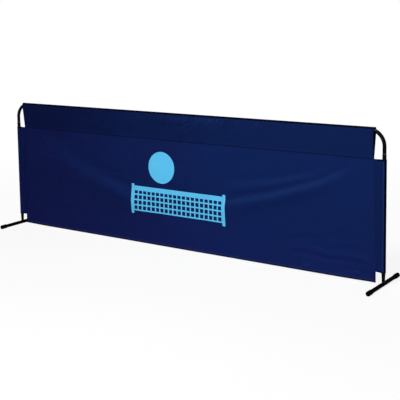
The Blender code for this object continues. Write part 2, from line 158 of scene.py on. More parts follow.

# Painted highlight on the folds: how much it grows with the slope of a fold, where that stops, and the
# pleats' share of it
HIGHLIGHT_PER_SLOPE = 0.45
MOST_HIGHLIGHT = 0.3
PLEATS_HIGHLIGHT = 0.7

# Parts of the cut cloth's grid: columns and row height of the panel, rows of a leg sleeve, and the
# columns of the band, as shares of its half length, with finer ones where it has its pleats
PANEL_COLUMNS = 372
PANEL_ROW = 7 * MM
SLEEVE_ROW = 6 * MM
BAND_COLUMN = 0.009
FINE_COLUMN = 0.003
FINE_START, FINE_END = -0.16, 0.48

# Added to the x of the band's rear ply, so that its creases aren't those of the front
REAR_SHIFT = 5

# Camera, fitted to the photograph with the 2.33 m length known: place in metres, turns in
# radians, focal length and shift in pixels of the 400-pixel frame
CAMERA_PLACE = (2.7612, -3.7572, 1.2882)
CAMERA_YAW = 0.60696
CAMERA_PITCH = -0.11603
CAMERA_ROLL = -0.01476
CAMERA_FOCAL_PIXELS = 905.7
CAMERA_SHIFT_PIXELS = -90
FRAME_PIXELS = 400
SENSOR_MM = 36


# Small helpers for shapes


def rise(value, start, end):
    """Goes smoothly from 0 at start to 1 at end."""
    share = min(max((value - start) / (end - start), 0), 1)
    return share * share * (3 - 2 * share)


def ripple(x, z, size, seed):
    """Even-handed noise from -1 to 1 whose bumps are about this size."""
    return noise.noise(Vector((x / size, z / size, seed)))


def spaced(start, end, step):
    """Values from start to end in equal steps no longer than step."""
    count = max(1, math.ceil(abs(end - start) / step))
    return [start + (end - start) * i / count for i in range(count + 1)]


def new_piece(name, mesh, material):
    """A finished piece at the origin, riding on the frame."""
    piece = bpy.data.objects.new(name, mesh)
    bpy.context.scene.collection.objects.link(piece)
    for each in material if isinstance(material, tuple) else (material,):
        mesh.materials.append(each)
    mesh.shade_smooth()
    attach(piece, "frame")
    return piece


def cloth_piece(name, columns, rows, place, material, growth, layers, painted_highlight=None, dropped=None):
    """A sheet of cloth, made thick. place(column, row) gives a corner's place and its flat place
    on the cut, which is also its UV. growth is Solidify's offset. layers(column, row) gives how many
    plies lie there, as a share of the two that a hem has. The argument after layers gives, for a
    column and row, how much painted highlight lies there, which the material reads. dropped(column,
    row) tells which faces are cut away."""
    mesh = bpy.data.meshes.new(name)
    shape = bmesh.new()
    flat = shape.loops.layers.uv.new("cut")
    bmesh.ops.create_grid(shape, x_segments=columns, y_segments=rows, size=1)
    if dropped is not None:
        spare = []
        for face in shape.faces:
            middle = face.calc_center_median()
            column = int((middle.x + 1) / 2 * columns)
            row = int((middle.y + 1) / 2 * rows)
            if dropped(column, row):
                spare.append(face)
        bmesh.ops.delete(shape, geom=spare, context="FACES")
    highlight_layer = shape.verts.layers.float.new("painted_highlight")
    cut, plies = {}, {}
    for vert in shape.verts:
        column = round((vert.co.x + 1) / 2 * columns)
        row = round((vert.co.y + 1) / 2 * rows)
        vert.co, cut[vert] = place(column, row)
        plies[vert] = layers(column, row)
        vert[highlight_layer] = painted_highlight(column, row) if painted_highlight else 0
    for face in shape.faces:
        for loop in face.loops:
            loop[flat].uv = cut[loop.vert]
    shape.verts.index_update()
    weights = [(vert.index, plies[vert]) for vert in shape.verts]
    shape.to_mesh(mesh)
    shape.free()
    piece = new_piece(name, mesh, material)
    group = piece.vertex_groups.new(name="plies")
    for index, weight in weights:
        group.add([index], weight, "REPLACE")
    thick = piece.modifiers.new("plies", "SOLIDIFY")
    thick.thickness = 2 * CLOTH
    thick.vertex_group = group.name
    thick.offset = growth
    thick.use_even_offset = True
    thick.use_quality_normals = True
    thick.material_offset = thick.material_offset_rim = len(mesh.materials) - 1
    return piece


# The cover's shape


def stitch_x(z):
    """How far from the middle the leg sleeves' stitching is, at a height."""
    share = min(max((SEAM_Z - z) / (SEAM_Z - SLEEVE_BOTTOM), 0), 1)
    return HALF_WIDTH - BAND_FOOT_INSET - (SLEEVE_FOOT_INSET - BAND_FOOT_INSET) * share


def band_end(z):
    """How far from the middle the band ends, at a height. Its ends lean."""
    share = min(max((RAIL_Z - z) / (RAIL_Z - SEAM_Z), 0), 1)
    return HALF_WIDTH - BAND_TOP_INSET - (BAND_FOOT_INSET - BAND_TOP_INSET) * share


# The broad swags of the panel, which the CAD model has too: from where to where each runs, and its
# share of the depth
SWAGS = (
    (((0.990, 0.510), (0.330, 0.252)), 1.00),
    (((-0.946, 0.538), (-0.243, 0.206)), 0.75),
)

# Creases in them, as the photograph shows them. Each has the points that its steep flank passes
# through, from left to right, how steep it is, how wide it is above and below, and, where it isn't
# as with the others, the shares of its length over which it fades in and out
CREASES = (
    (
        ((0.200, 0.268), (0.313, 0.300), (0.385, 0.318), (0.524, 0.353), (0.592, 0.371))
        + ((0.658, 0.393), (0.723, 0.417), (0.788, 0.438), (0.850, 0.464), (0.912, 0.494))
        + ((0.993, 0.535), (1.060, 0.575)),
        0.42,
        17 * MM,
        36 * MM,
        (0.22, 0.33),
    ),
    (
        ((0.220, 0.364), (0.386, 0.399), (0.525, 0.425))
        + ((0.658, 0.449), (0.788, 0.485), (0.902, 0.527)),
        0.21,
        24 * MM,
        24 * MM,
        (0.30, 0.35),
    ),
    (
        ((0.240, 0.331), (0.385, 0.358), (0.524, 0.387), (0.658, 0.424), (0.788, 0.466)),
        -0.20,
        13 * MM,
        13 * MM,
        (0.25, 0.3),
    ),
    (
        ((-0.990, 0.535), (-0.938, 0.510), (-0.838, 0.465), (-0.724, 0.406), (-0.635, 0.371))
        + ((-0.547, 0.342), (-0.439, 0.314), (-0.341, 0.291), (-0.200, 0.250)),
        0.215,
        60 * MM,
        75 * MM,
        (0.58, 0.25),
    ),
    (((-0.540, 0.404), (-0.437, 0.381), (-0.352, 0.367), (-0.220, 0.342)), 0.14, 16 * MM, 22 * MM),
    (
        ((0.640, 0.099), (0.755, 0.113), (0.809, 0.109), (0.885, 0.101))
        + ((0.960, 0.105), (1.045, 0.102), (1.104, 0.088)),
        -0.36,
        17 * MM,
        18 * MM,
        (0.35, 0.1),
    ),
    (((0.880, 0.152), (0.949, 0.164), (1.000, 0.171), (1.070, 0.164)), -0.24, 11 * MM, 11 * MM),
    (((0.860, 0.070), (0.980, 0.072), (1.120, 0.060)), -0.16, 24 * MM, 24 * MM, (0.5, 0.1)),
    (((0.500, 0.140), (0.730, 0.185), (0.837, 0.194), (0.990, 0.250)), -0.12, 14 * MM, 18 * MM),
    (((-1.060, 0.180), (-0.900, 0.150), (-0.700, 0.150)), -0.12, 16 * MM, 18 * MM),
    (((-0.960, 0.330), (-0.760, 0.270), (-0.560, 0.230)), 0.08, 18 * MM, 24 * MM),
    (((1.092, 0.520), (1.088, 0.420), (1.082, 0.300)), 0.35, 8 * MM, 10 * MM),
)

# Puckers of the hem: where each is. Small pleats that the rail's crown gathers in the band: the x of
# each, how high, wide and long they are, how much the lengths differ, how much they lean, and where
# and over what width they crowd, which makes them stronger
HEM_PUCKERS = ((0.764, 0.034), (1.024, 0.041))
PUCKER_SIZE = 12 * MM
PUCKER_HEIGHT = 4 * MM
PLEATS = (-0.035, -0.010, 0.012, 0.034, 0.058, 0.078, 0.117, 0.138, 0.157, 0.178, 0.201, 0.221)
PLEATS += (0.243, 0.272, 0.305, 0.392, 0.501, -0.080, -0.150, -0.420)
PLEAT_HEIGHT = 5 * MM
PLEAT_WIDTH = 7 * MM
PLEAT_LENGTH = 34
PLEAT_LENGTH_VARIES = 22
PLEAT_LEAN = 0.6
PLEAT_CROWD = 0.19
PLEAT_CROWD_WIDTH = 0.15
PLEAT_ALONE = 0.4

# The crease that runs down from the pleats to the left: its dark hollow, and the bright flank below it
BAND_CREASES = (
    (
        ((-0.150, -0.045), (-0.020, -0.058), (0.032, -0.056), (0.058, -0.049))
        + ((0.084, -0.037), (0.111, -0.022), (0.180, 0.030)),
        -0.24,
        34 * MM,
        12 * MM,
        (0.40, 0.40),
    ),
    (
        ((-0.060, -0.145), (0.013, -0.106), (0.058, -0.073))
        + ((0.110, -0.042), (0.160, -0.002), (0.200, 0.036)),
        0.28,
        15 * MM,
        26 * MM,
        (0.35, 0.30),
    ),
)


def crease(x, z, path, steep, above, below, fades=(0.45, 0.25)):
    """Height of a crease at a place: a valley above its path, a flank that comes forward, and a ridge
    below. It fades in and out over these shares of its length."""
    best = None
    done = 0
    total = sum(math.dist(first, second) for first, second in zip(path, path[1:]))
    for (ax, az), (bx, bz) in zip(path, path[1:]):
        length = math.hypot(bx - ax, bz - az)
        share = ((x - ax) * (bx - ax) + (z - az) * (bz - az)) / length**2
        share = min(max(share, 0), 1)
        away = math.hypot(x - ax - (bx - ax) * share, z - az - (bz - az) * share)
        if best is None or away < best[0]:
            under = (x - ax) * (bz - az) - (z - az) * (bx - ax)
            best = (away, math.copysign(away, under), (done + share * length) / total)
        done += length
    _, down, along = best
    width = below if down > 0 else above
    taper = rise(along, 0, fades[0]) * rise(1 - along, 0, fades[1])
    return steep * taper * down * math.exp(-((down / width) ** 2))


def panel_out(x, z):
    """How far the hanging cloth stands out to the front at a place on it."""
    from_side = stitch_x(z) - abs(x)
    from_seam = SEAM_Z - z
    out = BELLY
    for (start, end), share in SWAGS:
        (ax, az), (bx, bz) = start, end
        length = math.dist(start, end)
        along = ((x - ax) * (bx - ax) + (z - az) * (bz - az)) / length
        across = ((x - ax) * (bz - az) - (z - az) * (bx - ax)) / length
        past = max(-along, along - length, 0)
        away = math.hypot(across, past / 2)
        out += share * SWAG_DEPTH * math.exp(-((away / SWAG_WIDTH) ** 2))
    out *= rise(from_side, 0, SLACK_FADE) * rise(from_seam, 0, SLACK_RISE)
    inside = rise(from_side, 0, SEWN_FADE) * rise(from_seam, 0, SEWN_FADE)
    out += inside * sum(crease(x, z, *each) for each in CREASES)
    out += inside * SLOW_WAVES[0] * ripple(x, z, SLOW_WAVES[1], 3)
    out += inside * QUICK_WAVES[0] * ripple(x, 1.6 * z, QUICK_WAVES[1], 7)
    for pucker_x, pucker_z in HEM_PUCKERS:
        away = math.hypot((x - pucker_x) / 1.4, z - pucker_z) / PUCKER_SIZE
        out += PUCKER_HEIGHT * math.exp(-(away**2))
    below = math.exp(-from_seam / GATHERS_BELOW_SEAM) if from_seam > 0 else 0
    beside = math.exp(-from_side / GATHERS_BESIDE_SEAM) if from_side > 0 else 0
    out += GATHERS * below * rise(from_seam, 0, GATHERS_START) * ripple(x, 0, 13 * MM, 11)
    out += GATHERS * beside * rise(from_side, 0, GATHERS_START) * ripple(0, z, 14 * MM, 13)
    above_hem = abs(z - COVER_BOTTOM - HEM_DEPTH)
    roping = ROPING[0] * ripple(x - 0.6 * z, 0, 16 * MM, 17)
    return out + roping * math.exp(-above_hem / ROPING[1])


def sleeve_section(wrap, reach, straight, tight, widen_steps):
    """Half of a sleeve's cross-section as (across, along) from its sewn mouth to its fold. The ply
    lies flat over the seam, widens, and wraps the tube, whose centre is at along 0. A tight one stays
    flat for longer."""
    flat_steps, wrap_steps = 5, 8
    points = [(MOUTH, -reach + ALLOWANCE * i / flat_steps) for i in range(flat_steps + 1)]
    for i in range(1, widen_steps + 1):
        share = i / widen_steps
        eased = share + tight * (share**3 - share)
        along = (ALLOWANCE - reach) * (1 - share) - straight * share
        points.append((MOUTH + (wrap - MOUTH) * eased, along))
    for i in range(wrap_steps + 1):
        angle = math.radians(90) * i / wrap_steps
        points.append((wrap * math.cos(angle), wrap * math.sin(angle)))
    front = [(-across, along) for across, along in points]
    return front + list(reversed(points))[1:]


def lengths_along(section):
    """The length of cloth from the middle of a section to each of its points."""
    done = [0]
    for first, second in zip(section, section[1:]):
        done.append(done[-1] + math.dist(first, second))
    return [length - done[-1] / 2 for length in done]


BAND_WRAP = COVER_TOP - RAIL_Z - CLOTH
BAND_REACH = RAIL_Z - SEAM_Z
BAND_SECTION = sleeve_section(BAND_WRAP, BAND_REACH, BAND_STRAIGHT, 0.15, widen_steps=30)
LEG_WRAP = HALF_WIDTH - LEG_X - CLOTH


def pleat_height(x, along):
    """Height of the small pleats that hang from the rail's crown, which lean to the left. They are
    strongest where they crowd."""
    height = 0
    for i, pleat in enumerate(PLEATS):
        leaning = x - pleat - PLEAT_LEAN * along
        length = (PLEAT_LENGTH + PLEAT_LENGTH_VARIES * ripple(i, 0, 1.7, 5)) * MM
        crowded = math.exp(-(((pleat - PLEAT_CROWD) / PLEAT_CROWD_WIDTH) ** 2))
        strong = PLEAT_ALONE + (1 - PLEAT_ALONE) * crowded
        height += strong * math.exp(-((leaning / PLEAT_WIDTH) ** 2)) * math.exp(-((along / length) ** 2))
    return PLEAT_HEIGHT * height * rise(-along, -2 * MM, 8 * MM)


def band_pucker(x, along):
    """How far the band's plies stand out, with pleats under the rail's crown and one long crease."""
    free = rise(-along, BAND_STRAIGHT - 6 * MM, BAND_STRAIGHT + 12 * MM)
    sewn = rise(along + BAND_REACH, ALLOWANCE, ALLOWANCE + 30 * MM)
    out = 1.2 * MM * ripple(x, along, 0.16, 29) + 0.4 * MM * ripple(x, along, 0.05, 31)
    out += sum(crease(x, along, *each) for each in BAND_CREASES)
    at_seam = 0.2 * MM * ripple(x, 0, 14 * MM, 31) * math.exp(-(along + BAND_REACH) / (25 * MM))
    out = free * sewn * out + sewn * pleat_height(x, along)
    return out + at_seam * rise(along + BAND_REACH, 0, 4 * MM) * free


def band_place(x_share, row):
    """A place on the band, by a share of its half length and a point of its cross-section."""
    across, along = BAND_SECTION[row]
    x = band_end(RAIL_Z + along) * x_share
    out = band_pucker(x if across <= 0 else x + REAR_SHIFT, along)
    return Vector((x, across + math.copysign(out, across) if across else 0, RAIL_Z + along))


def build_band(cloth):
    """The band folded over the rail. Its lower edges are turned in over the seam."""
    shares = spaced(-1, FINE_START, BAND_COLUMN) + spaced(FINE_START, FINE_END, FINE_COLUMN)[1:]
    shares += spaced(FINE_END, 1, BAND_COLUMN)[1:]
    columns = len(shares) - 1
    arc = lengths_along(BAND_SECTION)

    @functools.cache
    def place(column, row):
        point = band_place(shares[column], row)
        return point, (point.x, arc[row])

    def painted_highlight(column, row):
        """Painted highlight on the pleats, strongest where they stand out most."""
        point = place(column, row)[0]
        return PLEATS_HIGHLIGHT * HIGHLIGHT_PER_SLOPE * pleat_height(point.x, point.z - RAIL_Z) / PLEAT_HEIGHT

    def layers(column, row):
        from_mouth = BAND_REACH + BAND_SECTION[row][1]
        return 1 - 0.5 * rise(from_mouth, TURNED_EDGE - 1 * MM, TURNED_EDGE + 1 * MM)

    rows = len(BAND_SECTION) - 1
    band = cloth_piece("cover_band", columns, rows, place, cloth, 1, layers, painted_highlight)
    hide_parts("cover_top_sleeve")
    return band


def leg_section(z):
    """A leg sleeve's cross-section at a height. It narrows towards the foot."""
    return sleeve_section(LEG_WRAP, LEG_X - stitch_x(z), SLEEVE_STRAIGHT, 0.6, widen_steps=12)


def leg_sleeve_place(side, z, row):
    """A place on a leg sleeve, by a height and a point of its cross-section."""
    across, along = leg_section(z)[row]
    reach = LEG_X - stitch_x(z)
    free = rise(-along, SLEEVE_STRAIGHT, SLEEVE_STRAIGHT + 8 * MM) * rise(along + reach, ALLOWANCE, reach)
    out = free * (0.5 * MM * ripple(z, along, 45 * MM, 37 + side) + 0.4 * MM * ripple(z, 0, 14 * MM, 41))
    return Vector((side * (LEG_X + along), across + math.copysign(out, across) if across else 0, z))


def build_leg_sleeve(side, word, cloth):
    """The cloth folded round a leg. Its free edges are turned in over the stitching."""
    heights = spaced(SLEEVE_BOTTOM, SEAM_Z, SLEEVE_ROW)
    rows = len(leg_section(SEAM_Z)) - 1

    def place(column, row):
        z = heights[column]
        arc = lengths_along(leg_section(z))[row]
        return leg_sleeve_place(side, z, row), (arc, z)

    def layers(column, row):
        section = leg_section(heights[column])
        from_mouth = section[row][1] - section[0][1]
        return 1 - 0.5 * rise(from_mouth, TURNED_EDGE - 1 * MM, TURNED_EDGE + 1 * MM)

    name, columns = f"cover_leg_sleeve_{word}", len(heights) - 1
    sleeve = cloth_piece(name, columns, rows, place, cloth, -side, layers)
    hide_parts(f"cover_side_sleeve_{word}")
    return sleeve


def build_panel(cloth):
    """The hanging sheet, with a folded hem below and a tongue into each sleeve for its seam."""
    columns = PANEL_COLUMNS + 2
    hem_top = COVER_BOTTOM + HEM_DEPTH
    groove = hem_top - STITCH_ROW
    heights = [COVER_BOTTOM, COVER_BOTTOM + 1 * MM, COVER_BOTTOM + 4 * MM, COVER_BOTTOM + 9 * MM]
    heights += [groove - 2 * MM, groove, groove + 1.6 * MM, hem_top, hem_top + HEM_STEP]
    heights += spaced(hem_top + 6 * MM, SLEEVE_BOTTOM - 3 * MM, PANEL_ROW)
    below = len(heights)
    heights += spaced(SLEEVE_BOTTOM + GAP, SEAM_Z - GAP, PANEL_ROW)
    heights.append(SEAM_Z + ALLOWANCE)
    rows = len(heights) - 1

    @functools.cache
    def place(column, row):
        z = heights[row]
        edge = stitch_x(z) - GAP
        share = 2 * min(max(column - 1, 0), PANEL_COLUMNS) / PANEL_COLUMNS - 1
        x = edge * share
        x += ALLOWANCE * ((column == columns) - (column == 0))
        y = 0 if abs(x) > stitch_x(z) or z > SEAM_Z else -panel_out(x, z)
        return Vector((x, y, z)), (x, z)

    def dropped(column, row):
        return column in (0, columns - 1) and (row < below or row == rows - 1)

    def layers(column, row):
        z = heights[row]
        if abs(z - groove) < 0.1 * MM:
            return PRESSED
        return 1 - 0.5 * rise(z, hem_top, hem_top + HEM_STEP)

    def painted_highlight(column, row):
        """Painted highlight where the folds lean back and face up towards the lamps, growing with their
        slope.
        """
        if row in (0, rows) or heights[row + 1] > SEAM_Z:
            return 0
        above, below = place(column, row + 1)[0], place(column, row - 1)[0]
        slope = (above.y - below.y) / (above.z - below.z)
        return min(max(HIGHLIGHT_PER_SLOPE * slope, 0), MOST_HIGHLIGHT)

    panel = cloth_piece("cover_panel_cloth", columns, rows, place, cloth, 0, layers, painted_highlight, dropped)
    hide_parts("cover_panel")
    return panel


# Edge binding and stitching


def binding(name, route, material):
    """A tape folded over a cut edge. route has the edge's points, in the middle of the cloth, with
    the direction into the cloth, the one out of its face, and the cloth's thickness there."""
    mesh = bpy.data.meshes.new(name)
    shape = bmesh.new()
    flat = shape.loops.layers.uv.new("cut")
    bend_steps = 4
    columns, rows = len(route) - 1, bend_steps + 2
    bmesh.ops.create_grid(shape, x_segments=columns, y_segments=rows, size=1)
    cut = {}
    run = [0]
    for first, second in zip(route, route[1:]):
        run.append(run[-1] + (second[0] - first[0]).length)
    for vert in shape.verts:
        column = round((vert.co.x + 1) / 2 * columns)
        row = round((vert.co.y + 1) / 2 * rows)
        edge, inward, out, thickness = route[column]
        stand = thickness / 2 + TAPE_GAP + TAPE / 2
        if row in (0, rows):
            into, off = TAPE_WIDTH, stand if row == 0 else -stand
        else:
            angle = math.radians(180) * (row - 1) / bend_steps
            into, off = -stand * math.sin(angle), stand * math.cos(angle)
        vert.co = edge + inward * into + out * off
        cut[vert] = (run[column], row * TAPE_WIDTH / rows)
    for face in shape.faces:
        for loop in face.loops:
            loop[flat].uv = cut[loop.vert]
    shape.to_mesh(mesh)
    shape.free()
    tape = new_piece(name, mesh, material)
    thick = tape.modifiers.new("tape", "SOLIDIFY")
    thick.thickness = TAPE
    thick.offset = 0
    return tape


def band_binding(side, word, material):
    """Round the leaning end of the band, from its front mouth over the rail to its rear one."""
    points = [band_place(side, row) for row in range(len(BAND_SECTION))]
    route = []
    for i, point in enumerate(points):
        before, after = points[max(i - 1, 0)], points[min(i + 1, len(points) - 1)]
        along = (after - before).normalized()
        out = along.cross(Vector((-1, 0, 0))).normalized()
        if out.dot(Vector((0, point.y, point.z - RAIL_Z + 0.001))) < 0 and point.z > RAIL_Z:
            out.negate()
        if point.z <= RAIL_Z and out.y * point.y < 0:
            out.negate()
        inward = along.cross(out).normalized()
        if inward.x * side > 0:
            inward.negate()
        route.append((point + out * CLOTH / 2, inward, out, CLOTH))
    return binding(f"band_binding_{word}", route, material)


def sleeve_binding(side, word, z, into, name, material):
    """Round the open top or bottom of a leg sleeve."""
    rows = len(leg_section(z))
    points = [leg_sleeve_place(side, z, row) for row in range(rows)]
    route = []
    for i, point in enumerate(points):
        before, after = points[max(i - 1, 0)], points[min(i + 1, rows - 1)]
        along = (after - before).normalized()
        out = along.cross(Vector((0, 0, 1))).normalized()
        centre = Vector((side * min(abs(point.x), LEG_X), 0, z))
        if out.dot(point - centre) < 0:
            out.negate()
        route.append((point + out * CLOTH / 2, Vector((0, 0, into)), out, CLOTH))
    return binding(f"{name}_{word}", route, material)


def notch_binding(side, word, material):
    """Down the panel's free side edge, under the leg sleeve."""
    route = []
    for z in spaced(SLEEVE_BOTTOM - 1 * MM, COVER_BOTTOM + 0.5 * MM, 4 * MM):
        x = side * (stitch_x(z) - GAP)
        plies = 2 * CLOTH if z < COVER_BOTTOM + HEM_DEPTH else CLOTH
        edge = Vector((x, -panel_out(x, z), z))
        route.append((edge, Vector((-side, 0, 0)), Vector((0, -1, 0)), plies))
    return binding(f"notch_binding_{word}", route, material)


def stitching(name, rows, material):
    """Rows of lockstitch. Each row has the line that it follows, as a function of length that
    gives the place on the cloth's face and the direction out of it, and the row's length."""
    curve = bpy.data.curves.new(name, "CURVE")
    curve.dimensions = "3D"
    curve.bevel_depth = THREAD / 2
    curve.bevel_resolution = 1
    curve.use_fill_caps = True
    for line, length in rows:
        count = int(length / STITCH_PITCH)
        start = (length - count * STITCH_PITCH) / 2
        for i in range(count):
            at = start + i * STITCH_PITCH
            spline = curve.splines.new("POLY")
            spline.points.add(3)
            # Both ends dip into the cloth
            lifts = (-0.6, 0.30, 0.30, -0.6)
            for point, share, lift in zip(spline.points, (0, 0.16, 0.84, 1), lifts):
                place, out = line(at + share * STITCH_LENGTH)
                point.co = (*(place + out * lift * THREAD), 1)
    path = bpy.data.objects.new(name + "_path", curve)
    bpy.context.scene.collection.objects.link(path)
    graph = bpy.context.evaluated_depsgraph_get()
    mesh = bpy.data.meshes.new_from_object(path.evaluated_get(graph))
    mesh.name = name
    mesh.materials.clear()
    bpy.data.objects.remove(path, do_unlink=True)
    return new_piece(name, mesh, material)


def band_stitches(material):
    """Two rows above the band's lower edge, on both faces."""
    rows = []
    for face in (-1, 1):
        for z in (SEAM_Z + STITCH_ROW, SEAM_Z + STITCH_ROW + STITCH_ROWS_APART):
            half = band_end(z) - TAPE_WIDTH

            def line(at, z=z, face=face, half=half):
                x = at - half
                out = band_pucker(x if face < 0 else x + REAR_SHIFT, z - RAIL_Z)
                return Vector((x, face * (MOUTH + 2 * CLOTH + out), z)), Vector((0, face, 0))

            rows.append((line, 2 * half))
    return stitching("band_stitching", rows, material)


def sleeve_stitches(side, word, material):
    """Two rows beside each free edge of a leg sleeve."""
    rows = []
    low, high = SLEEVE_BOTTOM + TAPE_WIDTH, SEAM_Z - TAPE_WIDTH
    for face in (-1, 1):
        for inset in (STITCH_ROW, STITCH_ROW + STITCH_ROWS_APART):

            def line(at, inset=inset, face=face):
                z = low + at
                place = Vector((side * (stitch_x(z) + inset), face * (MOUTH + 2 * CLOTH), z))
                return place, Vector((0, face, 0))

            rows.append((line, high - low))
    return stitching(f"sleeve_stitching_{word}", rows, material)


def hem_stitches(material):
    """One row through the panel's folded hem."""
    rows = []
    z = COVER_BOTTOM + HEM_DEPTH - STITCH_ROW
    half = stitch_x(z) - TAPE_WIDTH
    for face in (-1, 1):

        def line(at, face=face):
            x = at - half
            place = Vector((x, -panel_out(x, z) + face * PRESSED * CLOTH, z))
            return place, Vector((0, face, 0))

        rows.append((line, 2 * half))
    return stitching("hem_stitching", rows, material)


# Materials

MATH = "ShaderNodeMath"
VECTOR = "ShaderNodeVectorMath"
RANGE = "ShaderNodeMapRange"
NOISE = "ShaderNodeTexNoise"
MIX = "ShaderNodeMix"
MAPPING = "ShaderNodeMapping"
SPLIT = "ShaderNodeSeparateXYZ"
BUMP = "ShaderNodeBump"
COORDS = "ShaderNodeTexCoord"
SHADER = "Principled BSDF"

# Colours of the cover: those at the left and right of each part, where the left one is darker, as
# painted shade, and more violet, the band's and the sleeves' are darker than the panel's, as painted
# shade, and the pair near the foot is lighter, as painted light from the floor. Then those that all
# parts share
NAVY_PANEL = ("#0D103D", "#0B1B4A")
NAVY_BAND = ("#070B2F", "#0A1943")
NAVY_SLEEVES = ("#08103C", "#0A1841")
NAVY_LOW_PAINTED_LIGHT = ("#141549", "#141B54")
NAVY_YARN = "#152A5C"
NAVY_PAINTED_SHADE = "#01020A"
NAVY_HIGHLIGHT_LINE = "#26366C"
NAVY_FOLD_HIGHLIGHT = ("#0C427E", "#213967")
INK = "#58B8E4"
INK_WORN = "#3A93C4"


def linear(hex_text):
    """An sRGB hex colour as the linear red, green, blue and alpha that sockets take."""
    parts = [int(hex_text[i : i + 2], 16) / 255 for i in (1, 3, 5)]
    return (*[p / 12.92 if p <= 0.04045 else ((p + 0.055) / 1.055) ** 2.4 for p in parts], 1)


def add(tree, kind, inputs=(), out=0, **settings):
    """Adds a node with its settings, and gives back one of its outputs, or all where out is None.
    An input is a value, or another node's output to link. kind may be a node that is there."""
    made = tree.nodes[kind] if kind in tree.nodes else tree.nodes.new(kind)
    for name, value in settings.items():
        setattr(made, name, value)
    for name, value in dict(inputs).items():
        if isinstance(value, bpy.types.NodeSocket):
            tree.links.new(value, made.inputs[name])
        else:
            made.inputs[name].default_value = value
    return made.outputs if out is None else made.outputs[out]


def new_material(name, **sockets):
    """A material and its node tree, with the shader's own sockets set."""
    material = bpy.data.materials.new(name)
    material.use_nodes = True
    values = {socket.replace("_", " "): value for socket, value in sockets.items()}
    add(material.node_tree, SHADER, values)
    return material, material.node_tree


